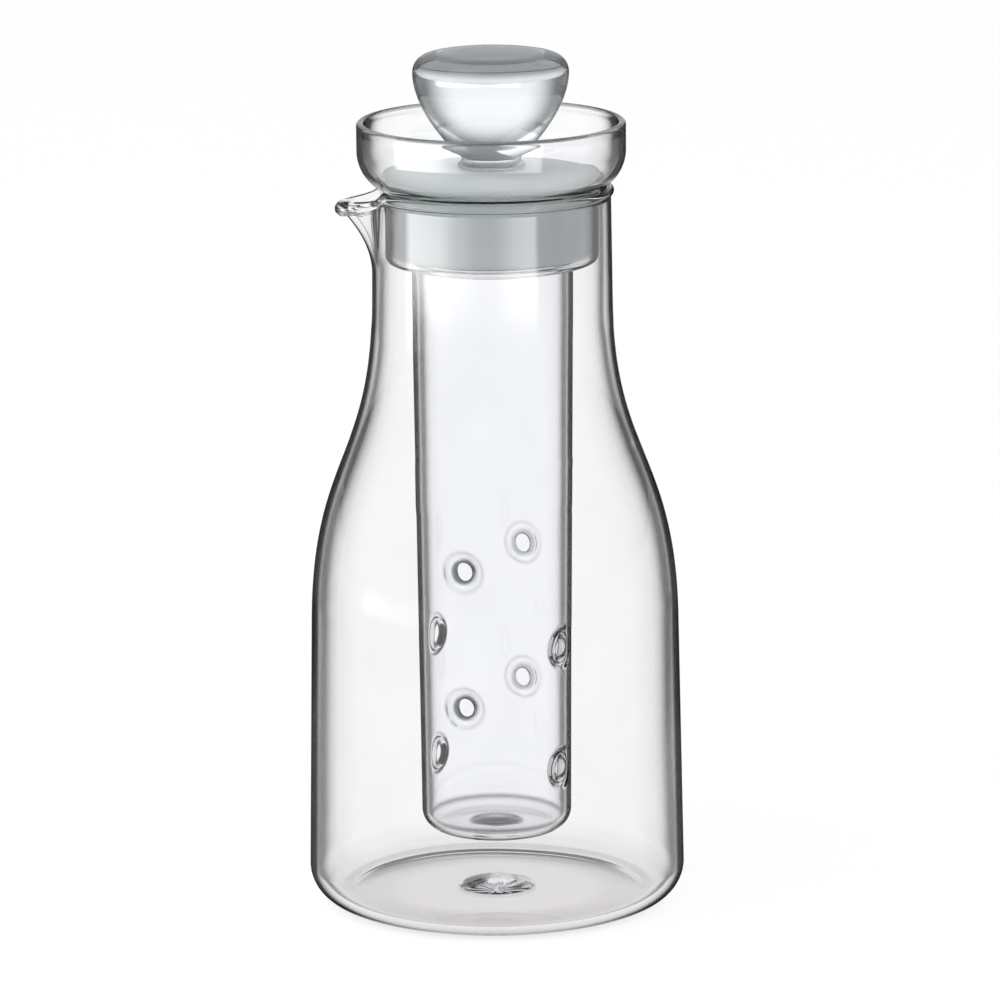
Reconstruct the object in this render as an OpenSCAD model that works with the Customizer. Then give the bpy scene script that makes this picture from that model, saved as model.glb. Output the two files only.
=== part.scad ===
// Infusion pitcher: a glass carafe with a pulled lip, a glass infuser that
// hangs in its neck, and a stopper of a silicone plug with a glass knob.
// Millimetres, +Z up, origin in the middle of the base, lip towards -X.

/* [Carafe] */
// Outer radius of the body just above the base corner
body_r = 54.1; // [50:0.1:58]
// Outer radius of the base corner
base_corner = 9.9; // [7:0.1:12]
// Height where the shoulder starts
shoulder_z = 82.5; // [78:0.5:88]
// Outer radius where the shoulder starts
shoulder_r = 52.75; // [50:0.05:53.5]
// Height where the neck starts
neck_z = 175; // [170:0.5:178]
// Outer radius of the neck where it starts
neck_r = 34.25; // [34:0.05:34.6]
// Outer radius of the neck below the rim
neck_top_r = 33.9; // [33.8:0.05:34.2]
// Height of the middle of the rim bead
rim_z = 206; // [205.7:0.1:206]
// Radius of the rim bead's circle
rim_r = 33.1; // [33.05:0.05:33.2]
// Half thickness of the rim bead
rim_bead = 1.8; // [1.6:0.05:1.8]
// Wall of the carafe
wall = 2.25; // [2:0.05:2.4]
// Thickness of the base
floor_t = 3.4; // [3:0.1:4.5]
// Height of the hollow under the base
push_up = 1.2; // [0.8:0.1:1.8]
// Height of the thick spot in the middle of the base
base_spot = 2; // [1:0.1:2.5]

/* [Lip] */
// Height where the pouring lip leaves the neck
lip_z = 184; // [182:0.5:186]
// Tilt of the lip's axis, in degrees
lip_tilt = 12; // [10:0.5:13]
// How fast the lip widens upwards
lip_flare = 0.252; // [0.22:0.002:0.26]
// Wall of the lip
lip_wall = 2; // [1.8:0.05:2.1]
// Height of the lip's edge at its tip
lip_tip_z = 203.4; // [202.5:0.1:204]

/* [Infuser] */
// Outer radius of the bowl
bowl_r = 38.2; // [37.8:0.1:38.6]
// Outer radius of the bowl's lower corner
bowl_corner = 12; // [11.9:0.05:12]
// Height of the middle of the bowl's lower corner
bowl_z = 218.3; // [218.3:0.05:218.6]
// Height of the middle of the bowl's lip
bowl_lip_z = 225.4; // [224:0.1:228]
// Wall of the bowl
bowl_wall = 2; // [1.8:0.05:2.1]
// Outer radius of the cup that stands in the neck
cup_r = 30.3; // [30.1:0.05:30.4]
// Inner radius of the cup
cup_in_r = 28.6; // [28.6:0.05:28.7]
// Height of the cup's underside
cup_z = 186.2; // [185.8:0.1:186.4]
// Outer radius of the tube at its top
tube_r = 23; // [22.5:0.1:23.4]
// Outer radius of the tube at its bottom
tube_low_r = 21.5; // [21:0.1:22]
// Wall of the tube
tube_wall = 1.8; // [1.5:0.05:2]
// Height of the tube's bottom
tube_z = 20; // [18:0.5:24]
// Outer radius of the tube's bottom corner
tube_corner = 6; // [5:0.1:7]
// Clear diameter of the holes
hole_d = 5.2; // [4:0.1:6.5]
// Half thickness of the round lip of a hole
hole_lip = 1.3; // [1.1:0.05:1.4]
// Turn of the first and third pair of holes from the front
hole_turn = -25; // [-40:1:0]
// Height of the first pair of holes, the highest
hole_z1 = 99.7; // [94:0.1:106]
// Height of the second pair of holes
hole_z2 = 75.2; // [70:0.1:80]
// Height of the third pair of holes
hole_z3 = 60; // [55:0.1:65]
// Height of the fourth pair of holes, the lowest
hole_z4 = 39.8; // [36:0.1:44]

/* [Stopper] */
// Radius of the plug's side
plug_r = 28.2; // [27.6:0.1:28.2]
// Radius of the plug's flange
flange_r = 31; // [30.5:0.1:31.2]
// Radius of the plug's hollow
plug_in_r = 23.6; // [20:0.1:24.5]
// Height of the plug's underside
plug_z = 188.5; // [188.4:0.1:190]
// Height of the plug's top at the knob
plug_top_z = 213.6; // [213:0.1:214]
// Largest radius of the knob
knob_r = 22.2; // [20:0.1:24]
// Height of the knob's widest place
knob_z = 240.4; // [238:0.1:242]
// Radius of the knob's upper edge
knob_edge = 5.1; // [4:0.1:6]
// Rise of the knob's top above its edge
knob_dome = 1.3; // [0.5:0.1:2]
// Radius of the knob's waist
waist_r = 8.3; // [7.5:0.1:9]
// Radius of the tang that goes through the plug
tang_r = 6; // [5:0.1:7]
// Radius of the button at the tang's end
button_r = 8.6; // [7.5:0.1:10]

/* [Hidden] */
$fn = 96;
// Room between the knob and the plug that holds it
fit = 0.1;

function arc(x, z, r, a0, a1, n) =
    [for (i = [0:n]) let (a = a0 + (a1 - a0)*i/n) [x + r*cos(a), z + r*sin(a)]];
function bez(p, q, r, s, n) =
    [for (i = [0:n]) let (t = i/n, u = 1 - t)
        p*u*u*u + 3*q*u*u*t + 3*r*u*t*t + s*t*t*t];
function tail(v) = [for (i = [1:len(v) - 1]) v[i]];

// ---------------------------------------------------------------- carafe
taper = (body_r - shoulder_r)/(shoulder_z - base_corner);
neck_taper = (neck_r - neck_top_r)/(rim_z - 3.5 - neck_z);
function shoulder(d) = bez(
    [shoulder_r - d, shoulder_z],
    [shoulder_r - d - taper*47.5, shoulder_z + 47.5],
    [neck_r - d + neck_taper*46.5, neck_z - 46.5],
    [neck_r - d, neck_z], 22);
in_corner = 7.8;
in_r = body_r - wall - 0.15;
carafe_outer = concat(
    bez([0, push_up], [14, push_up], [22, 0.15], [31, 0], 8),
    arc(body_r - base_corner, base_corner, base_corner, -90, 0, 10),
    shoulder(0),
    [[neck_top_r, rim_z - 3.5]],
    arc(rim_r, rim_z, rim_bead, -35, 212, 14));
carafe_inner = concat(
    [[neck_top_r - wall, rim_z - 3.5]],
    [for (i = [22:-1:0]) shoulder(wall)[i]],
    arc(in_r - in_corner, floor_t + in_corner, in_corner, 0, -90, 9),
    bez([13, floor_t + 0.3], [7, floor_t + 0.3], [6, floor_t + base_spot], [0, floor_t + base_spot], 9));

// The pulled lip: a slender cone that leans out of the neck, hollow, and cut
// off by a plane that falls from the rim to the tip.
module lip_cone(d, h)
    translate([-31.5, 0, lip_z]) rotate([0, -lip_tilt, 0])
        cylinder(r1 = 2.2 - d, r2 = 2.2 - d + lip_flare*h, h = h, $fn = 64);
lip_fall = atan((rim_z + 0.9 - lip_tip_z)/10.4);
module lip_glass()
    difference() {
        lip_cone(0, 30);
        translate([0, 0, lip_z - 4]) cylinder(r = 32.8, h = 40);
        translate([-33, 0, rim_z + 0.9]) rotate([0, -lip_fall, 0])
            translate([-30, -30, 0]) cube([60, 60, 30]);
    }
module carafe() {
    color([0.88, 0.92, 0.94, 0.5])
    difference() {
        union() {
            rotate([0, 0, 100]) rotate_extrude() polygon(concat(carafe_outer, carafe_inner));
            lip_glass();
        }
        lip_cone(lip_wall, 34);
    }
}

// --------------------------------------------------------------- infuser
bowl_c = bowl_r - bowl_corner;
bowl_lip = bowl_wall/2 + 0.15;
cup_corner = 2.85;
tube_top_z = 160;
// angle on the bowl's corner where a given radius lies
function bowl_a(r, big) = -acos((r - bowl_c)/big);
bowl_in = bowl_corner - bowl_wall;
infuser_outer = concat(
    [[0, tube_z]],
    arc(tube_low_r - tube_corner, tube_z + tube_corner, tube_corner, -90, 0, 9),
    [[tube_r, tube_top_z], [tube_r, cup_z - 1.5]],
    tail(arc(tube_r + 1.5, cup_z - 1.5, 1.5, 180, 90, 5)),
    arc(cup_r - cup_corner, cup_z + cup_corner, cup_corner, -90, 0, 7),
    bez([cup_r, 205.9], [cup_r, 206.9], [cup_r + 0.45, 207.15],
        [cup_r + 1.2, bowl_z - sqrt(bowl_corner*bowl_corner - pow(cup_r + 1.2 - bowl_c, 2))], 4),
    tail(arc(bowl_c, bowl_z, bowl_corner, bowl_a(cup_r + 1.2, bowl_corner), 0, 10)),
    arc(bowl_r - bowl_lip, bowl_lip_z, bowl_lip, 0, 180, 10));
infuser_inner = concat(
    [[bowl_r - bowl_wall, bowl_lip_z - 1.2]],
    arc(bowl_c, bowl_z, bowl_in, 0, bowl_a(30.6, bowl_in), 9),
    tail(bez([30.6, bowl_z - sqrt(bowl_in*bowl_in - pow(30.6 - bowl_c, 2))],
        [29.3, 208.75], [cup_in_r, 208.1], [cup_in_r, 206.6], 5)),
    arc(cup_in_r - 1.2, cup_z + 1.7 + 1.2, 1.2, 0, -90, 4),
    arc(tube_r - tube_wall + 1, cup_z + 0.7, 1, 90, 180, 4),
    [[tube_r - tube_wall, tube_top_z]],
    arc(tube_low_r - tube_corner, tube_z + tube_corner, tube_corner - tube_wall, 0, -90, 7),
    bez([9, tube_z + tube_wall + 0.1], [5, tube_z + tube_wall + 0.1],
        [4, tube_z + tube_wall + 1.3], [0, tube_z + tube_wall + 1.3], 7));
function tube_mid(z) = tube_low_r - tube_wall/2
    + (tube_r - tube_low_r)*(z - tube_z - tube_corner)/(tube_top_z - tube_z - tube_corner);
hole_z = [hole_z1, hole_z2, hole_z3, hole_z4];
function pair_turn(i) = -90 + hole_turn + (i % 2)*88;
module infuser() {
    color([0.9, 0.94, 0.95, 0.5])
    difference() {
        union() {
            rotate_extrude() polygon(concat(infuser_outer, infuser_inner));
            for (i = [0:3], s = [0, 180])
                translate([0, 0, hole_z[i]]) rotate([0, 0, pair_turn(i) + s])
                    translate([tube_mid(hole_z[i]) - 0.15, 0, 0]) rotate([0, 90, 0])
                        rotate_extrude($fn = 48)
                            translate([hole_d/2 + hole_lip - 0.25, 0]) circle(r = hole_lip, $fn = 32);
        }
        for (i = [0:3])
            translate([0, 0, hole_z[i]]) rotate([0, 0, pair_turn(i)]) rotate([0, 90, 0])
                cylinder(d = hole_d, h = 60, center = true, $fn = 48);
    }
}

// --------------------------------------------------------------- stopper
roof_z = plug_top_z - 7.1;
plug_half = concat(
    [[plug_in_r, plug_z]],
    arc(plug_r - 2, plug_z + 2, 2, -90, 0, 6),
    bez([plug_r, 206.8], [plug_r + 0.2, 208.7], [29, 209.4], [flange_r, 210.2], 6),
    arc(flange_r - 0.25, 210.75, 0.5, -30, 80, 4),
    bez([flange_r - 1.2, 211.4], [24, 212.4], [17, plug_top_z], [10.8, plug_top_z], 8),
    [[tang_r + fit, plug_top_z], [tang_r + fit, roof_z]],
    arc(plug_in_r - 2, roof_z - 2, 2, 90, 0, 5));
module stopper_plug() {
    color([0.86, 0.89, 0.88, 0.85])
    rotate_extrude() polygon(plug_half);
}
knob_foot = plug_top_z + fit;
knob_half = concat(
    [[0, roof_z - 4.1]],
    arc(button_r - 1.6, roof_z - 2.5, 1.6, -90, 0, 5),
    arc(button_r - 0.4, roof_z - fit - 0.4, 0.4, 0, 90, 3),
    [[tang_r, roof_z - fit], [tang_r, knob_foot]],
    arc(9, knob_foot + 0.55, 0.55, -90, 60, 5),
    bez([waist_r + 0.35, knob_foot + 1.3], [waist_r - 0.2, knob_foot + 2.2],
        [waist_r + 0.2, knob_foot + 3.2], [10.2, 218.1], 6),
    tail(bez([10.2, 218.1], [11.6, 219.3], [12.4, 220], [13.4, 221.2], 4)),
    tail(bez([13.4, 221.2], [16.4, 224.8], [knob_r, 232.8], [knob_r, knob_z], 12)),
    tail(arc(knob_r - knob_edge, knob_z, knob_edge, 0, 78, 9)),
    tail(bez([knob_r - knob_edge + knob_edge*cos(78), knob_z + knob_edge*sin(78)],
        [13.5, knob_z + knob_edge + 0.9], [6, knob_z + knob_edge + knob_dome],
        [0, knob_z + knob_edge + knob_dome], 8)));
module stopper_knob() {
    color([0.92, 0.95, 0.96, 0.6])
    rotate_extrude() polygon(knob_half);
}

carafe();
infuser();
stopper_plug();
stopper_knob();
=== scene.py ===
import math

import bmesh
import bpy
import numpy as np
from mathutils import Matrix


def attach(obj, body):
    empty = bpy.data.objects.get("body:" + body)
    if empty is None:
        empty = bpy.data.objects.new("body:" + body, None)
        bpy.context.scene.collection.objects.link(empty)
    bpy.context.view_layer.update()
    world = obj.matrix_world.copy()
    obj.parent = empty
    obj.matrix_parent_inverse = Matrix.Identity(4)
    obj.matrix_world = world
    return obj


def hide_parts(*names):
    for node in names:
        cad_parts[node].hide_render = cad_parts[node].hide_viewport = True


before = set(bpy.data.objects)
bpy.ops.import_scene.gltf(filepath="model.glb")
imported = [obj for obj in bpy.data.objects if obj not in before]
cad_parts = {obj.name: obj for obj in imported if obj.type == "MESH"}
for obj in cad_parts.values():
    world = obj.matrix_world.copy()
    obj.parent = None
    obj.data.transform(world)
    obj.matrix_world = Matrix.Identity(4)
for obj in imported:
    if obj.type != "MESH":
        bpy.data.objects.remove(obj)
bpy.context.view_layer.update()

MM = 0.001
scene = bpy.context.scene


# ------------------------------------------------------------------ profiles
# All profiles are (radius, height) in millimetres. They follow the CAD pieces
# to within about a millimetre, and are drawn much finer.
def arc(x, z, r, a0, a1, n):
    a = np.radians(np.linspace(a0, a1, n + 1))
    return np.stack([x + r * np.cos(a), z + r * np.sin(a)], 1)


def bez(p, q, r, s, n):
    t = np.linspace(0, 1, n + 1)[:, None]
    u = 1 - t
    p, q, r, s = (np.array(v, float) for v in (p, q, r, s))
    return p * u**3 + 3 * q * u * u * t + 3 * r * u * t * t + s * t**3


def line(p, q, n):
    return np.linspace(np.array(p, float), np.array(q, float), n + 1)


def chain(*runs):
    """Runs of points joined end to end, without the doubled points."""
    points = []
    for run in runs:
        for p in run:
            if not points or math.dist(points[-1], p) > 1e-3:
                points.append((float(p[0]), float(p[1])))
    return np.array(points)


class Shell:
    """A mesh under construction: rings of points and the faces between them."""

    def __init__(self):
        self.points, self.faces, self.count = [], [], 0

    def ring(self, xyz):
        start = self.count
        self.points.append(np.asarray(xyz, float))
        self.count += len(xyz)
        return np.arange(start, self.count)

    def band(self, a, b, closed=True, keep=None):
        n = len(a)
        for k in range(n if closed else n - 1):
            if keep is None or keep[k]:
                m = (k + 1) % n
                self.faces.append((int(a[k]), int(a[m]), int(b[m]), int(b[k])))

    def fan(self, tip, a):
        for k in range(len(a)):
            self.faces.append((int(tip[0]), int(a[k]), int(a[(k + 1) % len(a)])))

    def build(self, name):
        mesh = bpy.data.meshes.new(name)
        mesh.from_pydata((np.concatenate(self.points) * MM).tolist(), [], self.faces)
        bm = bmesh.new()
        bm.from_mesh(mesh)
        loose = [v for v in bm.verts if not v.link_faces]
        bmesh.ops.delete(bm, geom=loose, context="VERTS")
        bmesh.ops.recalc_face_normals(bm, faces=bm.faces)
        for f in bm.faces:
            f.smooth = True
        bm.to_mesh(mesh)
        bm.free()
        mesh.update()
        obj = bpy.data.objects.new(name, mesh)
        scene.collection.objects.link(obj)
        return obj


def ring_at(r, z, cols):
    return np.stack([r * np.cos(cols), r * np.sin(cols), np.full(len(cols), z)], 1)


def lathe(name, profile, cols, bend=None, closed=False):
    """A turned body. The profile runs from pole to pole, or is a closed loop."""
    shell, rings = Shell(), []
    for r, z in profile:
        if r < 1e-6:
            rings.append(shell.ring([[0, 0, z]]))
            continue
        xyz = ring_at(r, z, cols)
        rings.append(shell.ring(bend(xyz, r, z) if bend else xyz))
    pairs = list(zip(rings[:-1], rings[1:]))
    if closed:
        pairs.append((rings[-1], rings[0]))
    for a, b in pairs:
        if len(a) == 1:
            shell.fan(a, b)
        elif len(b) == 1:
            shell.fan(b, a)
        else:
            shell.band(a, b)
    return shell.build(name)


# -------------------------------------------------------------------- carafe
body_r, base_corner, shoulder_z, shoulder_r = 54.1, 9.9, 82.5, 52.75
neck_z, neck_r, neck_top_r = 175, 34.25, 33.9
rim_z, rim_r, rim_bead, wall = 206.5, 33.5, 1.25, 2.25
floor_t, push_up, base_spot, in_corner = 2.5, 0.9, 2.6, 7.5
taper = (body_r - shoulder_r) / (shoulder_z - base_corner)
neck_taper = (neck_r - neck_top_r) / (rim_z - 3.5 - neck_z)


def shoulder(d, n):
    return bez((shoulder_r - d, shoulder_z),
               (shoulder_r - d - taper * 47.5, shoulder_z + 47.5),
               (neck_r - d + neck_taper * 46.5, neck_z - 46.5),
               (neck_r - d, neck_z), n)


in_r = body_r - wall - 0.15
carafe_profile = chain(
    bez((0, push_up), (26, push_up), (36, push_up - 0.1), (43, 0), 36),
    line((43, 0), (body_r - base_corner, 0), 3),
    arc(body_r - base_corner, base_corner, base_corner, -90, 0, 26),
    line((body_r, base_corner), (shoulder_r, shoulder_z), 22),
    shoulder(0, 64),
    line((neck_r, neck_z), (neck_top_r, 204.4), 24),
    bez((neck_top_r, 204.4), (neck_top_r, 205.0), (neck_top_r + 0.3, 205.3),
        (rim_r + rim_bead * math.cos(math.radians(-24)), rim_z + rim_bead * math.sin(math.radians(-24))), 8),
    arc(rim_r, rim_z, rim_bead, -24, 204, 30),
    bez((rim_r + rim_bead * math.cos(math.radians(204)), rim_z + rim_bead * math.sin(math.radians(204))),
        (neck_top_r - wall + 0.2, 205.7), (neck_top_r - wall, 205.4), (neck_top_r - wall, 204.8), 7),
    line((neck_top_r - wall, 204.8), (neck_r - wall, neck_z), 24),
    shoulder(wall, 64)[::-1],
    line((shoulder_r - wall, shoulder_z), (in_r, floor_t + in_corner), 22),
    arc(in_r - in_corner, floor_t + in_corner, in_corner, 0, -90, 22),
    line((in_r - in_corner, floor_t), (12, floor_t + 0.2), 16),
    bez((12, floor_t + 0.2), (8.5, floor_t + 0.2), (7, floor_t + base_spot), (0, floor_t + base_spot), 24))

# Columns are closer together at the pouring lip, which points to -X.
lip_half = 30.0
carafe_cols = np.radians(np.concatenate([
    np.linspace(180 - lip_half, 180 + lip_half, 61)[:-1],
    np.linspace(180 + lip_half, 540 - lip_half, 181)[:-1]]))
lip_phi = np.degrees(np.abs((carafe_cols - math.pi + math.pi) % (2 * math.pi) - math.pi))
lip_out = np.where(lip_phi < 19, (0.5 + 0.5 * np.cos(np.pi * np.minimum(lip_phi, 19) / 19)) ** 1.1, 0)
lip_down = np.where(lip_phi < 30, 0.5 + 0.5 * np.cos(np.pi * np.minimum(lip_phi, 30) / 30), 0)


def pull_lip(xyz, r, z):
    """The rim pulled outwards and down into a lip, and the small unevenness of blown glass."""
    s = min(1.0, max(0.0, (z - 183.0) / 23.0))
    dr = 8.6 * s**1.95 * lip_out
    dz = -4.9 * s * lip_down
    if z > rim_z - 1.3 and r > 30:
        # the bead is thicker at the lip's tip
        swell = 0.95 * lip_out
        dr, dz = dr + swell * (r - rim_r), dz + swell * (z - rim_z)
    inside = z > 10 and r < np.interp(z, (10, 82.5, 130, 175), (53, 51.6, 42.2, 33.0))
    if inside:
        fade = min(1.0, (z - 10) / 20) * min(1.0, max(0.0, (196 - z) / 20))
        dr = dr + fade * (0.05 * np.sin(3 * carafe_cols + 0.031 * z) + 0.04 * np.sin(5 * carafe_cols - 0.052 * z + 1.0))
    if z > 2 and r < 12:
        # the seal at the middle of the base is twisted into fine ridges
        dz = dz + 0.05 * math.sin(math.pi * r / 12) * np.sin(13 * carafe_cols + 0.25 * r)
    k = (r + dr) / r
    return np.stack([xyz[:, 0] * k, xyz[:, 1] * k, xyz[:, 2] + dz], 1)


carafe = lathe("carafe_glass", carafe_profile, carafe_cols, pull_lip)


def ease(t):
    t = np.clip(t, 0, 1)
    return t * t * (3 - 2 * t)


def polar(obj):
    """Radius, angle in degrees and height of each point, in millimetres."""
    at = np.empty(len(obj.data.vertices) * 3)
    obj.data.vertices.foreach_get("co", at)
    x, y, z = at.reshape(-1, 3).T / MM
    return np.hypot(x, y), np.degrees(np.arctan2(y, x)), z


def set_painted_shade(obj, value):
    """How far the glass is greyed by painted shade, from 0 to 1, standing in for the dark that the glass bends and
    mirrors there.
    """
    obj.data.attributes.new("painted_shade", "FLOAT", "POINT").data.foreach_set("value", value)


# The base: painted shade in the floor's corner, stronger at the back, and painted shade in swirls over the seal at its
# middle
r, turn, z = polar(carafe)
on_floor = np.where((z > 2.0) & (r < 51.6), 1.0, 0.0) * ease((6.0 - z) / 1.5)
back = ease((turn - 25.0) / 40.0) * ease((155.0 - turn) / 40.0)
painted_back_shade = (0.01 + 0.09 * back) * ease((r - 36.5) / 1.6) * ease((z - 1.0) / 0.5)
left = np.abs((turn + 8.0) % 360 - 180.0)
swirl = 0.97 * ease((r - 0.8) / 2.0) * ease((10.5 - r) / 1.0) * ease((64.0 - left) / 16.0)
for radius, width, middle, span, share in ((10.2, 0.7, 75, 60, 0.75), (8.6, 0.9, -35, 40, 0.9), (5.6, 0.8, 10, 45, 0.8),
                                           (11.4, 0.5, -125, 35, 0.5)):
    swirl = np.maximum(swirl, share * np.exp(-((r - radius) / width) ** 2) * ease((span - np.abs(turn - middle)) / 20.0))
# and a trace of painted shade in the rounded corner outside
corner = 0.055 * ease((r - 41.0) / 3.0) * ease((9.5 - z) / 4.0)
set_painted_shade(carafe, np.maximum(on_floor * np.maximum(painted_back_shade, swirl), corner))

# ------------------------------------------------------------------- infuser
bowl_r, bowl_corner, bowl_z, bowl_lip_z, bowl_wall = 38.2, 12.0, 218.3, 225.4, 2.0
cup_r, cup_in_r, cup_z, cup_corner = 30.3, 28.6, 186.2, 2.85
tube_r, tube_low_r, tube_wall, tube_z, tube_corner, tube_top_z = 23.0, 21.5, 1.8, 20.0, 6.0, 184.0
hole_r, hole_lip, hole_z = 2.6, 1.3, (99.7, 75.2, 60.0, 39.8)
bowl_c, bowl_in, bowl_lip = bowl_r - bowl_corner, bowl_corner - bowl_wall, bowl_wall / 2 + 0.15


def on_bowl(r, big):
    return -math.degrees(math.acos((r - bowl_c) / big)), bowl_z - math.sqrt(big * big - (r - bowl_c) ** 2)


def tube_out(z):
    return tube_low_r + (tube_r - tube_low_r) * (z - tube_z - tube_corner) / (tube_top_z - tube_z - tube_corner)


# Heights of the rows on the pierced stretch, so that each hole's middle is on a row.
zone = np.concatenate([np.linspace(a, b, n + 1)[:-1] for a, b, n in
                       ((28.0, 39.8, 15), (39.8, 60.0, 26), (60.0, 75.2, 20), (75.2, 99.7, 32))]
                      + [np.linspace(99.7, 112.0, 17)])
COLS = 180
infuser_cols = np.radians(-115.0 + 2.0 * np.arange(COLS))


def make_infuser():
    shell = Shell()
    half = tube_wall / 2
    a_out, z_out = on_bowl(cup_r + 1.2, bowl_corner)
    a_in, z_in = on_bowl(30.6, bowl_in)
    low = chain(line((0, tube_z), (tube_low_r - tube_corner, tube_z), 8),
                arc(tube_low_r - tube_corner, tube_z + tube_corner, tube_corner, -90, 0, 18))
    high = chain(line((tube_out(112.0), 112.0), (tube_r, tube_top_z), 16)[1:],
                 line((tube_r, tube_top_z), (tube_r, cup_z - 1.5), 8),
                 arc(tube_r + 1.5, cup_z - 1.5, 1.5, 180, 90, 10),
                 arc(cup_r - cup_corner, cup_z + cup_corner, cup_corner, -90, 0, 14),
                 line((cup_r, cup_z + cup_corner), (cup_r, 205.9), 8),
                 bez((cup_r, 205.9), (cup_r, 206.9), (cup_r + 0.45, 207.15), (cup_r + 1.2, z_out), 8),
                 arc(bowl_c, bowl_z, bowl_corner, a_out, 0, 24),
                 line((bowl_r, bowl_z), (bowl_r, bowl_lip_z), 4),
                 arc(bowl_r - bowl_lip, bowl_lip_z, bowl_lip, 0, 180, 18),
                 line((bowl_r - 2 * bowl_lip, bowl_lip_z), (bowl_r - bowl_wall, bowl_lip_z - 1.6), 3),
                 line((bowl_r - bowl_wall, bowl_lip_z - 1.6), (bowl_r - bowl_wall, bowl_z), 4),
                 arc(bowl_c, bowl_z, bowl_in, 0, a_in, 20),
                 bez((30.6, z_in), (29.3, 208.75), (cup_in_r, 208.1), (cup_in_r, 206.6), 8),
                 line((cup_in_r, 206.6), (cup_in_r, cup_z + 2.9), 8),
                 arc(cup_in_r - 1.2, cup_z + 2.9, 1.2, 0, -90, 8),
                 arc(tube_r - tube_wall + 1, cup_z + 0.7, 1, 90, 180, 8),
                 line((tube_r - tube_wall, cup_z + 0.7), (tube_r - tube_wall, tube_top_z), 8),
                 line((tube_r - tube_wall, tube_top_z), (tube_out(112.0) - tube_wall, 112.0), 16)[:-1])
    deep = chain(arc(tube_low_r - tube_corner, tube_z + tube_corner, tube_corner - tube_wall, 0, -90, 14),
                 line((tube_low_r - tube_corner, tube_z + tube_wall), (9, tube_z + tube_wall + 0.1), 4),
                 bez((9, tube_z + tube_wall + 0.1), (5, tube_z + tube_wall + 0.1),
                     (4, tube_z + tube_wall + 1.3), (0, tube_z + tube_wall + 1.3), 14))

    def turn(profile):
        return [shell.ring([[0, 0, z]]) if r < 1e-6 else shell.ring(ring_at(r, z, infuser_cols)) for r, z in profile]

    outer = [shell.ring(ring_at(tube_out(z), z, infuser_cols)) for z in zone]
    inner = [shell.ring(ring_at(tube_out(z) - tube_wall, z, infuser_cols)) for z in zone]
    rings_low, rings_high, rings_deep = turn(low), turn(high), turn(deep)
    path = rings_low + outer + rings_high + inner[::-1] + rings_deep

    # Cells of the grid that give way to a pierced patch
    reach = 9
    taken = np.zeros((len(zone), COLS), bool)
    patches = []
    for i, zc in enumerate(hole_z):
        jc = int(np.argmin(np.abs(zone - zc)))
        for side in (0, 90):
            kc = (0 if i % 2 == 0 else 44) + side
            patches.append((kc, jc))
            for j in range(jc - reach, jc + reach):
                taken[j, (np.arange(kc - reach, kc + reach)) % COLS] = True
    zone_at = {id(r): j for rows in (outer, inner) for j, r in enumerate(rows)}
    for a, b in zip(path[:-1], path[1:]):
        if len(a) == 1:
            shell.fan(a, b)
        elif len(b) == 1:
            shell.fan(b, a)
        elif id(a) in zone_at and id(b) in zone_at:
            shell.band(a, b, keep=~taken[min(zone_at[id(a)], zone_at[id(b)])])
        else:
            shell.band(a, b)

    # Each hole: the wall is pressed in a little and its edge is melted round.
    start = hole_r + hole_lip
    for kc, jc in patches:
        loop = ([(k, jc - reach) for k in range(kc - reach, kc + reach)]
                + [(kc + reach, j) for j in range(jc - reach, jc + reach)]
                + [(k, jc + reach) for k in range(kc + reach, kc - reach, -1)]
                + [(kc - reach, j) for j in range(jc + reach, jc - reach, -1)])
        theta_c, zc = math.radians(-115.0 + 2.0 * kc), zone[jc]
        mid = tube_out(zc) - half
        u = np.array([mid * math.radians(2.0 * (k - kc)) for k, j in loop])
        w = np.array([zone[j] - zc for k, j in loop])
        psi = np.arctan2(w, u)
        cu, cw = np.cos(psi), np.sin(psi)
        rows = []
        for t in (0.86, 0.72, 0.58, 0.46, 0.35, 0.25, 0.16, 0.08, 0.0):
            pu, pw = u * t + start * cu * (1 - t), w * t + start * cw * (1 - t)
            d = np.hypot(pu, pw)
            swell = np.clip(1 - (d - start) / 2.4, 0, 1) ** 2
            rows.append((pu, pw, half + (hole_lip - half) * swell))
        for deg in (75, 60, 46, 33, 21, 10, 0):
            d = start - hole_lip * math.cos(math.radians(deg))
            rows.append((d * cu, d * cw, np.full(len(u), hole_lip * math.sin(math.radians(deg)))))
        edge_out = np.array([outer[j][k % COLS] for k, j in loop])
        edge_in = np.array([inner[j][k % COLS] for k, j in loop])
        for n, (pu, pw, h) in enumerate(rows):
            d = np.hypot(pu, pw)
            theta, z = theta_c + pu / mid, zc + pw
            r = tube_out(z) - half

            def place(radius):
                return np.stack([radius * np.cos(theta), radius * np.sin(theta), z], 1)

            # the outside is pressed in with a clear edge, the inside bulges softly
            dent_out, dent_in = -1.0 * ease((6.3 - d) / 1.9), -1.0 * ease((6.8 - d) / 3.2)
            if n == len(rows) - 1:
                new_out = new_in = shell.ring(place(r + dent_out))
            else:
                new_out, new_in = shell.ring(place(r + dent_out + h)), shell.ring(place(r + dent_in - h))
            shell.band(edge_out, new_out)
            shell.band(edge_in, new_in)
            edge_out, edge_in = new_out, new_in
    obj = shell.build("infuser_glass")
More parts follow.
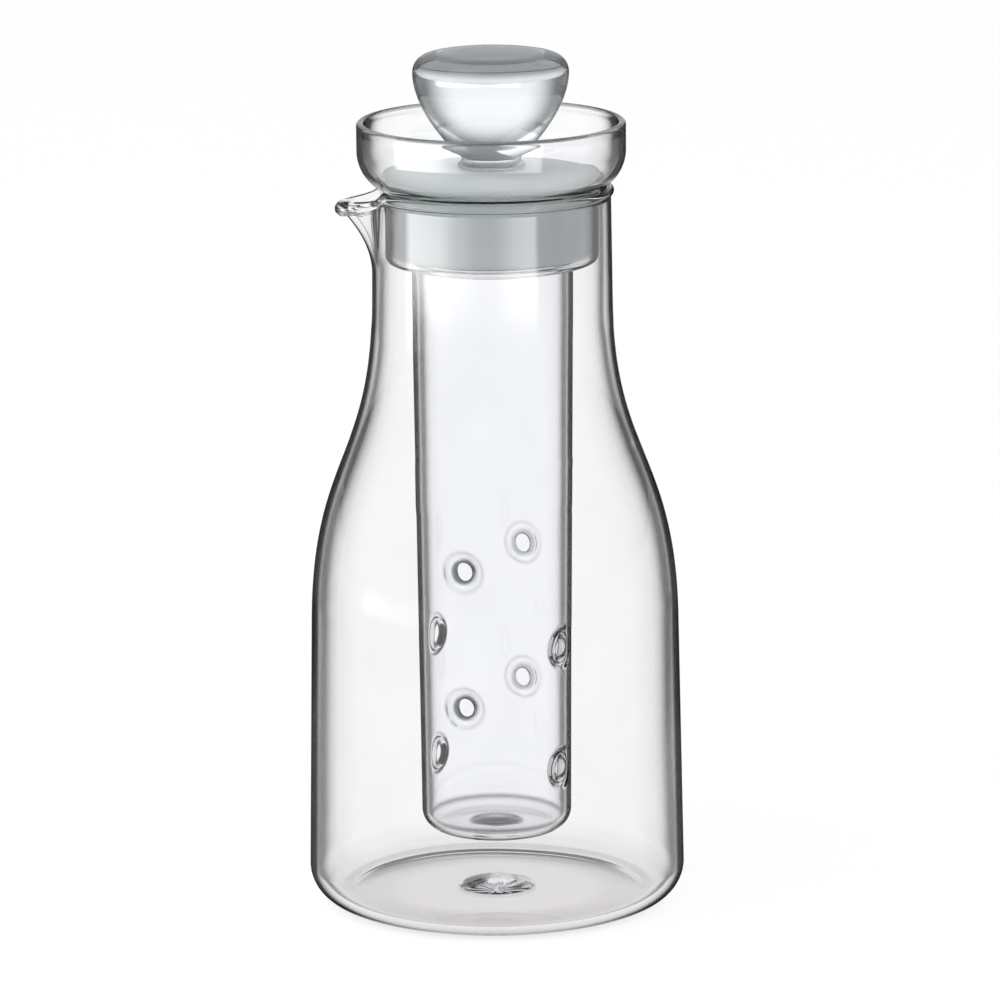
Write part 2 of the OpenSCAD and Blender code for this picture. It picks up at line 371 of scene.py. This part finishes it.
    # painted shade at the bowl's lip, the closed end's middle and corner, and round each hole: a dark lip and a faint
    # ring where the dent ends
    r, angle, z = polar(obj)
    inner_end = np.where((z > tube_z + 1.0) & (z < 28) & (r < 20.4), 1.0, 0.0)
    painted_shade = inner_end * np.maximum(0.97 * ease((8.4 - r) / 1.2) * (0.6 + 0.4 * ease((r - 1.5) / 2.0)),
                                  0.92 * np.exp(-((z - 24.0) / 0.8) ** 2))
    painted_shade = np.maximum(painted_shade, 0.84 * ease((z - 225.3) / 0.8))
    for kc, jc in patches:
        turn_by = (np.radians(angle) - math.radians(-115.0 + 2.0 * kc) + math.pi) % (2 * math.pi) - math.pi
        d = np.hypot((tube_out(zone[jc]) - half) * turn_by, z - zone[jc])
        here = np.where((r > 17) & (d < 9), 1.0, 0.0)
        front = math.sin(math.radians(-115.0 + 2.0 * kc)) < 0
        at_side = abs(math.cos(math.radians(-115.0 + 2.0 * kc))) > 0.6
        lip = ease((4.15 - d) / 1.0) * (1.0 if front else 0.72) * (0.5 if at_side else 1.0)
        ring = 0.30 * np.exp(-((d - 5.9) / 0.42) ** 2)
        painted_shade = np.maximum(painted_shade, here * np.maximum(lip, ring))
    set_painted_shade(obj, painted_shade)
    return obj


infuser = make_infuser()

# ------------------------------------------------------------------- stopper
plug_r, flange_r, plug_in_r, plug_z, plug_top_z = 28.2, 31.0, 23.6, 188.5, 213.6
tang_r, fit, roof_z = 6.0, 0.1, 206.5
turn_cols = np.radians(np.linspace(0, 360, 161)[:-1])


plug_profile = chain(
    line((plug_in_r + 0.4, plug_z), (plug_r - 2, plug_z), 3),
    arc(plug_r - 2, plug_z + 2, 2, -90, 0, 10),
    line((plug_r, plug_z + 2), (plug_r, 206.8), 24),
    bez((plug_r, 206.8), (plug_r + 0.2, 208.7), (29, 209.4), (flange_r, 210.2), 12),
    arc(flange_r - 0.25, 210.75, 0.5, -30, 80, 8),
    bez((flange_r - 1.2, 211.4), (24, 212.4), (17, plug_top_z), (10.8, plug_top_z), 22),
    line((10.8, plug_top_z), (tang_r + fit + 0.3, plug_top_z), 5),
    arc(tang_r + fit + 0.3, plug_top_z - 0.3, 0.3, 90, 180, 4),
    line((tang_r + fit, plug_top_z - 0.3), (tang_r + fit, roof_z + 0.3), 5),
    arc(tang_r + fit + 0.3, roof_z + 0.3, 0.3, 180, 270, 4),
    line((tang_r + fit + 0.3, roof_z), (plug_in_r - 2, roof_z), 8),
    arc(plug_in_r - 2, roof_z - 2, 2, 90, 0, 10),
    line((plug_in_r, roof_z - 2), (plug_in_r, plug_z + 0.4), 10),
    arc(plug_in_r + 0.4, plug_z + 0.4, 0.4, 180, 270, 4))
plug = lathe("plug_silicone", plug_profile[:-1], turn_cols, closed=True)

knob_r, knob_z, knob_edge, knob_dome, waist_r, button_r = 22.2, 240.4, 5.1, 1.3, 8.3, 8.6
knob_foot = plug_top_z + fit
a78 = math.radians(78)
knob_profile = chain(
    line((0, roof_z - 4.1), (button_r - 1.6, roof_z - 4.1), 5),
    arc(button_r - 1.6, roof_z - 2.5, 1.6, -90, 0, 10),
    line((button_r, roof_z - 2.5), (button_r, roof_z - fit - 0.4), 3),
    arc(button_r - 0.4, roof_z - fit - 0.4, 0.4, 0, 90, 5),
    line((button_r - 0.4, roof_z - fit), (tang_r, roof_z - fit), 3),
    line((tang_r, roof_z - fit), (tang_r, knob_foot), 6),
    line((tang_r, knob_foot), (9, knob_foot), 3),
    arc(9, knob_foot + 0.55, 0.55, -90, 60, 10),
    bez((waist_r + 0.35, knob_foot + 1.3), (waist_r - 0.2, knob_foot + 2.2),
        (waist_r + 0.2, knob_foot + 3.2), (10.2, 218.1), 14),
    bez((10.2, 218.1), (11.6, 219.3), (12.4, 220), (13.4, 221.2), 10),
    bez((13.4, 221.2), (16.4, 224.8), (knob_r, 232.8), (knob_r, knob_z), 34),
    arc(knob_r - knob_edge, knob_z, knob_edge, 0, 78, 22),
    bez((knob_r - knob_edge + knob_edge * math.cos(a78), knob_z + knob_edge * math.sin(a78)),
        (13.5, knob_z + knob_edge + 0.9), (6, knob_z + knob_edge + knob_dome), (0, knob_z + knob_edge + knob_dome), 20))
knob = lathe("knob_glass", knob_profile, turn_cols)
# painted shade on the knob's top, from its rounded edge in to about 12 mm from the middle
r, turn, z = polar(knob)
set_painted_shade(knob, ease((z - 240.6) / 2.4) * ease((r - 12.0) / 5.0))

for piece, body, node, slot in ((carafe, "carafe", "carafe", "clear_glass"),
                                (infuser, "infuser", "infuser", "clear_glass"),
                                (plug, "stopper", "stopper_plug", "frosted_silicone"),
                                (knob, "stopper", "stopper_knob", "clear_glass")):
    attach(piece, body)
    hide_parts(node)


# ----------------------------------------------------------------- materials
def material(name):
    mat = bpy.data.materials.new(name)
    mat.use_nodes = True
    tree = mat.node_tree
    tree.nodes.clear()
    out = tree.nodes.new("ShaderNodeOutputMaterial")
    shader = tree.nodes.new("ShaderNodeBsdfPrincipled")
    tree.links.new(shader.outputs["BSDF"], out.inputs["Surface"])
    return mat, tree, shader, out


def noise(tree, scale, detail, stretch=(1, 1, 1)):
    coords = tree.nodes.new("ShaderNodeTexCoord")
    mapping = tree.nodes.new("ShaderNodeMapping")
    mapping.inputs["Scale"].default_value = stretch
    tex = tree.nodes.new("ShaderNodeTexNoise")
    tex.inputs["Scale"].default_value = scale
    tex.inputs["Detail"].default_value = detail
    tree.links.new(coords.outputs["Object"], mapping.inputs["Vector"])
    tree.links.new(mapping.outputs["Vector"], tex.inputs["Vector"])
    return tex


def ramp(tree, source, low, high, a=0.35, b=0.65):
    node = tree.nodes.new("ShaderNodeValToRGB")
    node.color_ramp.elements[0].position, node.color_ramp.elements[0].color = a, (*low, 1)
    node.color_ramp.elements[1].position, node.color_ramp.elements[1].color = b, (*high, 1)
    tree.links.new(source.outputs["Fac"], node.inputs["Fac"])
    return node.outputs["Color"]


def spread(tree, source, low, high):
    node = tree.nodes.new("ShaderNodeMapRange")
    node.inputs["From Min"].default_value, node.inputs["From Max"].default_value = 0.3, 0.7
    node.inputs["To Min"].default_value, node.inputs["To Max"].default_value = low, high
    tree.links.new(source.outputs["Fac"], node.inputs["Value"])
    return node.outputs["Result"]


def bump(tree, source, distance, strength=1.0, below=None):
    node = tree.nodes.new("ShaderNodeBump")
    node.inputs["Strength"].default_value = strength
    node.inputs["Distance"].default_value = distance
    tree.links.new(source.outputs["Fac"], node.inputs["Height"])
    if below is not None:
        tree.links.new(below, node.inputs["Normal"])
    return node.outputs["Normal"]


def glass(name, tone, wave, wave_scale, stretch, edge, shift=0.0, level=(0.62, 0.94, 0.0), tint=None, density=0.0,
          dark=None, dim_body_reflection=None):
    """Clear borosilicate: drawn streaks and slight waves in the surface, a trace of wiped haze, edges that go dark
    at a glancing angle, and a grey cast in depth."""
    mat, tree, shader, out = material(name)
    shader.inputs["Transmission Weight"].default_value = 1.0
    shader.inputs["IOR"].default_value = 1.47
    waves = noise(tree, wave_scale, 1.0, stretch)
    haze = noise(tree, 55.0, 3.0)
    clear = ramp(tree, haze, [0.985 * c for c in tone], tone)
    # painted shade: the colour is mixed towards dark by the attribute set per point
    if dark is not None:
        painted_shade = tree.nodes.new("ShaderNodeAttribute")
        painted_shade.attribute_name = "painted_shade"
        mix = tree.nodes.new("ShaderNodeMix")
        mix.data_type = "RGBA"
        tree.links.new(painted_shade.outputs["Fac"], mix.inputs["Factor"])
        tree.links.new(clear, mix.inputs["A"])
        mix.inputs["B"].default_value = (*dark, 1)
        clear = mix.outputs["Result"]
    tree.links.new(clear, shader.inputs["Base Color"])
    tree.links.new(spread(tree, haze, 0.0, 0.016), shader.inputs["Roughness"])
    tree.links.new(bump(tree, waves, wave), shader.inputs["Normal"])
    facing = tree.nodes.new("ShaderNodeLayerWeight")
    facing.inputs["Blend"].default_value = 0.5
    band = tree.nodes.new("ShaderNodeValToRGB")
    band.color_ramp.elements[0].position, band.color_ramp.elements[0].color = 0.42 - shift, (0, 0, 0, 1)
    band.color_ramp.elements[1].position, band.color_ramp.elements[1].color = 1.0, (edge, edge, edge, 1)
    for at, share in ((0.60, 0.07), (0.67, 0.22), (0.74, 0.55), (0.80, 0.95)):
        stop = band.color_ramp.elements.new(at - shift)
        stop.color = (share * edge, share * edge, share * edge, 1)
    tree.links.new(facing.outputs["Facing"], band.inputs["Fac"])
    # less of it on level surfaces, such as the base, which are always seen at a low angle
    shape = tree.nodes.new("ShaderNodeNewGeometry")
    axes = tree.nodes.new("ShaderNodeSeparateXYZ")
    tree.links.new(shape.outputs["Normal"], axes.inputs["Vector"])
    rise = tree.nodes.new("ShaderNodeMath")
    rise.operation = "ABSOLUTE"
    tree.links.new(axes.outputs["Z"], rise.inputs[0])
    stand = tree.nodes.new("ShaderNodeMapRange")
    stand.interpolation_type = "SMOOTHSTEP"
    stand.inputs["From Min"].default_value, stand.inputs["From Max"].default_value = level[0], level[1]
    stand.inputs["To Min"].default_value, stand.inputs["To Max"].default_value = 1.0, level[2]
    tree.links.new(rise.outputs[0], stand.inputs["Value"])
    both = tree.nodes.new("ShaderNodeMath")
    both.operation = "MULTIPLY"
    tree.links.new(band.outputs["Color"], both.inputs[0])
    tree.links.new(stand.outputs["Result"], both.inputs[1])
    tree.links.new(both.outputs[0], shader.inputs["Coat Weight"])
    shader.inputs["Coat IOR"].default_value = 1.0
    shader.inputs["Coat Roughness"].default_value = 0.0
    shader.inputs["Coat Tint"].default_value = (0.02, 0.024, 0.03, 1)
    if dim_body_reflection is not None:
        # painted: the body's reflections are dimmed by height, weaker below the neck: (from, to) height in metres and
        # the body's share
        place = tree.nodes.new("ShaderNodeTexCoord")
        up = tree.nodes.new("ShaderNodeSeparateXYZ")
        tree.links.new(place.outputs["Object"], up.inputs["Vector"])
        share = tree.nodes.new("ShaderNodeMapRange")
        share.interpolation_type = "SMOOTHSTEP"
        share.inputs["From Min"].default_value, share.inputs["From Max"].default_value = dim_body_reflection[0], dim_body_reflection[1]
        share.inputs["To Min"].default_value, share.inputs["To Max"].default_value = dim_body_reflection[2], 1.0
        tree.links.new(up.outputs["Z"], share.inputs["Value"])
        tree.links.new(share.outputs["Result"], shader.inputs["Specular Tint"])
    if tint is not None:
        depth = tree.nodes.new("ShaderNodeVolumeAbsorption")
        depth.inputs["Color"].default_value = (*tint, 1)
        depth.inputs["Density"].default_value = density
        tree.links.new(depth.outputs["Volume"], out.inputs["Volume"])
    return mat


def silicone(name):
    """Translucent moulded silicone: cloudy body that light seeps through, satin skin with faint turned lines and a mould grain."""
    mat, tree, shader, out = material(name)
    shader.inputs["Transmission Weight"].default_value = 0.18
    shader.inputs["IOR"].default_value = 1.41
    shader.inputs["Subsurface Weight"].default_value = 1.0
    shader.inputs["Subsurface Radius"].default_value = (1.0, 1.1, 1.05)
    shader.inputs["Subsurface Scale"].default_value = 0.014
    cloud = noise(tree, 60.0, 2.0)
    lines = noise(tree, 70.0, 2.0, (0.3, 0.3, 9.0))
    grain = noise(tree, 1900.0, 1.0)
    tree.links.new(ramp(tree, cloud, (0.78, 0.905, 0.865), (0.83, 0.94, 0.905)), shader.inputs["Base Color"])
    tree.links.new(spread(tree, lines, 0.28, 0.36), shader.inputs["Roughness"])
    soft = bump(tree, lines, 0.00006, 0.6)
    tree.links.new(bump(tree, grain, 0.000006, 0.5, soft), shader.inputs["Normal"])
    return mat


carafe.data.materials.append(glass("carafe_glass_look", (0.993, 0.994, 0.999), 0.00012, 26.0, (1, 1, 0.35), 0.97, shift=0.035,
                                   level=(0.72, 0.97, 0.14), tint=(0.79, 0.79, 0.805), density=50.0, dark=(0.02, 0.02, 0.022), dim_body_reflection=(0.168, 0.192, 0.06)))
infuser.data.materials.append(glass("infuser_glass_look", (0.990, 0.993, 1.0), 0.00006, 40.0, (1, 1, 0.2), 0.95,
                                    shift=0.11, level=(0.45, 0.8, 0.2), dark=(0.05, 0.055, 0.06)))
knob.data.materials.append(glass("knob_glass_look", (0.99, 0.997, 1.0), 0.00012, 48.0, (1, 1, 1), 0.66, shift=0.02,
                                 level=(0.7, 0.95, 0.7), tint=(0.88, 0.90, 0.91), density=20.0, dark=(0.15, 0.16, 0.17)))
plug.data.materials.append(silicone("plug_silicone_look"))

# --------------------------------------------------------------------- stage
def lit_plane(name, height):
    """A floor-sized plane that gives off light, and the coordinates to shape that light by."""
    mesh = bpy.data.meshes.new(name)
    mesh.from_pydata([(-8, -8, 0), (8, -8, 0), (8, 8, 0), (-8, 8, 0)], [], [(0, 1, 2, 3)])
    plane = bpy.data.objects.new(name, mesh)
    plane.location = (0, 0, height)
    scene.collection.objects.link(plane)
    mat, tree, shader, out = material(name + "_look")
    shader.inputs["Base Color"].default_value = (0.06, 0.06, 0.06, 1)
    shader.inputs["Roughness"].default_value = 0.9
    shader.inputs["Specular IOR Level"].default_value = 0.0
    shader.inputs["Emission Color"].default_value = (1, 1, 1, 1)
    mesh.materials.append(mat)
    coords = tree.nodes.new("ShaderNodeTexCoord")
    split = tree.nodes.new("ShaderNodeSeparateXYZ")
    tree.links.new(coords.outputs["Object"], split.inputs["Vector"])
    return plane, tree, shader, split


def math_node(op, a, b=None, c=None):
    node = tree.nodes.new("ShaderNodeMath")
    node.operation = op
    for i, v in enumerate((a, b, c)):
        if v is None:
            continue
        if isinstance(v, (int, float)):
            node.inputs[i].default_value = v
        else:
            tree.links.new(v, node.inputs[i])
    return node.outputs[0]


def smooth(value, e0, e1):
    node = tree.nodes.new("ShaderNodeMapRange")
    node.interpolation_type = "SMOOTHSTEP"
    node.inputs["From Min"].default_value, node.inputs["From Max"].default_value = e0, e1
    node.inputs["To Min"].default_value, node.inputs["To Max"].default_value = 1.0, 0.0
    tree.links.new(value, node.inputs["Value"])
    return node.outputs["Result"]


def out_from_middle():
    x, y = split.outputs["X"], split.outputs["Y"]
    return math_node("SQRT", math_node("ADD", math_node("MULTIPLY", x, x), math_node("MULTIPLY", y, y)))


def left_of_front():
    return math_node("ARCTAN2", math_node("MULTIPLY", split.outputs["X"], -1.0), math_node("MULTIPLY", split.outputs["Y"], -1.0))


def lobe(middle, flat, fade):
    away = math_node("ABSOLUTE", math_node("SUBTRACT", angle, math.radians(middle)))
    return smooth(away, math.radians(flat), math.radians(flat + fade))


def around(stops, gain):
    """A value by the angle from the front, in degrees towards the left, between the given stops."""
    node = tree.nodes.new("ShaderNodeValToRGB")
    node.color_ramp.interpolation = "EASE"
    ends = node.color_ramp.elements
    while len(ends) < len(stops):
        ends.new(0.5)
    for end, (deg, value) in zip(ends, sorted(stops)):
        end.position, end.color = deg / 360 + 0.5, (value, value, value, 1)
    tree.links.new(math_node("MULTIPLY_ADD", angle, 1 / (2 * math.pi), 0.5), node.inputs["Fac"])
    return math_node("MULTIPLY", node.outputs["Color"], gain)


# The floor: plain and pale, with a soft warm shade under the base, deepest where the glass touches
floor, tree, shader, split = lit_plane("floor", -0.0004)
radius = out_from_middle()
under = smooth(radius, 0.041, 0.052)
shade = math_node("MULTIPLY_ADD", under, -0.17, 1.0)
touch = math_node("MULTIPLY", smooth(radius, 0.040, 0.050), math_node("SUBTRACT", 1.0, smooth(radius, 0.026, 0.034)))
shade = math_node("MULTIPLY_ADD", touch, -0.09, shade)
plain = math_node("MULTIPLY_ADD", smooth(radius, 2.0, 6.0), 0.155, 0.80)
tree.links.new(math_node("MULTIPLY", plain, shade), shader.inputs["Emission Strength"])
warm = tree.nodes.new("ShaderNodeMix")
warm.data_type = "RGBA"
warm.inputs["A"].default_value, warm.inputs["B"].default_value = (1, 1, 1, 1), (1, 0.95, 0.935, 1)
tree.links.new(under, warm.inputs["Factor"])
tree.links.new(warm.outputs["Result"], shader.inputs["Emission Color"])
floor.visible_glossy = False

# What the glass mirrors in its stead: a glowing plane with painted light, like a lit table in a dim room with light
# from windows on the left and the front right
mirrored, tree, shader, split = lit_plane("mirrored", -0.0008)
mirrored.visible_camera = mirrored.visible_diffuse = mirrored.visible_transmission = mirrored.visible_shadow = False
side = math_node("SUBTRACT", math_node("ABSOLUTE", split.outputs["X"]),
                 math_node("MULTIPLY", math_node("MAXIMUM", split.outputs["Y"], 0.0), 0.085))
on_right = math_node("GREATER_THAN", split.outputs["X"], 0.0)
across_left, across_right = smooth(side, 0.15, 0.42), smooth(side, 0.152, 0.23)
across = math_node("MULTIPLY_ADD", math_node("SUBTRACT", across_right, across_left), on_right, across_left)
front = smooth(math_node("MULTIPLY", split.outputs["Y"], -1.0), 0.12, 0.42)
back = smooth(split.outputs["Y"], 2.0, 3.4)
pool = math_node("MULTIPLY", math_node("MULTIPLY", across, front), back)
right = smooth(math_node("MULTIPLY", split.outputs["X"], -1.0), -0.3, 0.3)
level = math_node("MULTIPLY_ADD", right, -0.20, 0.32)
angle = left_of_front()
radius = out_from_middle()
outside = math_node("SUBTRACT", 1.0, smooth(radius, 0.68, 0.98))
# and fading again towards the horizon, where the dimmer walls begin
outside = math_node("MULTIPLY", outside, math_node("MULTIPLY_ADD", smooth(radius, 0.95, 2.8), 0.88, 0.12))
patch = math_node("MULTIPLY", around(((-46, 0.0), (-39, 0.72), (-30, 0.66), (2, 0.14), (14, 0.16), (30, 0.40), (54, 1.0),
                                      (82, 1.0), (93, 0.06), (120, 0.0)), 11.0), outside)
glow = math_node("MULTIPLY_ADD", pool, math_node("SUBTRACT", 0.955, level), level)
tree.links.new(math_node("ADD", glow, patch), shader.inputs["Emission Strength"])

world = bpy.data.worlds.new("studio")
world.use_nodes = True
wt = world.node_tree
sky = wt.nodes["Background"]
sky.inputs["Color"].default_value = (0.962, 0.98, 1.0, 1)
tree = wt
coords = tree.nodes.new("ShaderNodeTexCoord")
split = tree.nodes.new("ShaderNodeSeparateXYZ")
tree.links.new(coords.outputs["Generated"], split.inputs["Vector"])
# A white sweep behind the object, dim walls at the sides and in front.
turn_away = math_node("ARCTAN2", math_node("ABSOLUTE", split.outputs["X"]), split.outputs["Y"])
sweep = math_node("MULTIPLY", smooth(turn_away, math.radians(16), math.radians(48)),
                  smooth(split.outputs["Z"], 0.30, 0.72))
angle = left_of_front()
window = math_node("MULTIPLY", math_node("ADD", math_node("MULTIPLY", lobe(78, 14, 34), 1.1),
                                         math_node("MULTIPLY", lobe(-42, 2, 9), 0.8)),
                   smooth(split.outputs["Z"], 0.35, 0.8))
# a broad soft glow from the front, above the horizon
ahead = math_node("MULTIPLY", math_node("MULTIPLY", lobe(0, 35, 45), smooth(split.outputs["Z"], 0.55, 0.9)), 0.7)
wt.links.new(math_node("ADD", math_node("ADD", math_node("MULTIPLY_ADD", sweep, 0.88, 0.21), window), ahead),
             sky.inputs["Strength"])
scene.world = world


def softbox(name, place, aim, size, power):
    lamp = bpy.data.lights.new(name, "AREA")
    lamp.shape, lamp.size, lamp.size_y, lamp.energy = "RECTANGLE", size[0], size[1], power
    obj = bpy.data.objects.new(name, lamp)
    scene.collection.objects.link(obj)
    z = (np.array(place, float) - np.array(aim, float))
    z /= np.linalg.norm(z)
    x = np.cross((0, 0, 1), z)
    x /= np.linalg.norm(x)
    y = np.cross(z, x)
    obj.matrix_world = Matrix(((x[0], y[0], z[0], place[0]), (x[1], y[1], z[1], place[1]),
                               (x[2], y[2], z[2], place[2]), (0, 0, 0, 1)))
    return obj


softbox("key", (-1.3, -1.0, 2.2), (0, 0, 0.15), (1.8, 1.8), 10)
# lights the matt surfaces only, so that it leaves no hard shape in the glass
fill = softbox("fill", (-0.5, -0.6, 2.2), (0, 0, 0.15), (1.8, 1.8), 26)
fill.visible_glossy = fill.visible_transmission = False

cam_data = bpy.data.cameras.new("camera")
cam_data.lens, cam_data.sensor_width = 240.2, 36.0
cam_data.clip_start, cam_data.clip_end = 0.05, 50
cam = bpy.data.objects.new("camera", cam_data)
scene.collection.objects.link(cam)
cam.matrix_world = (Matrix.Translation((0, -1.8662, 0.5309))
                    @ Matrix.Rotation(math.radians(-0.0515), 4, "Z")
                    @ Matrix.Rotation(math.radians(90 - 12.52), 4, "X")
                    @ Matrix.Rotation(math.radians(-0.47), 4, "Z"))
scene.camera = cam

cycles = scene.cycles
cycles.max_bounces = 40
cycles.transmission_bounces = 36
cycles.glossy_bounces = 12
cycles.diffuse_bounces = 4
cycles.transparent_max_bounces = 12
cycles.caustics_reflective = True
cycles.caustics_refractive = True
cycles.blur_glossy = 0.3
cycles.sample_clamp_indirect = 6.0
cycles.use_denoising = True
scene.view_settings.view_transform = "Standard"
scene.view_settings.look = "None"
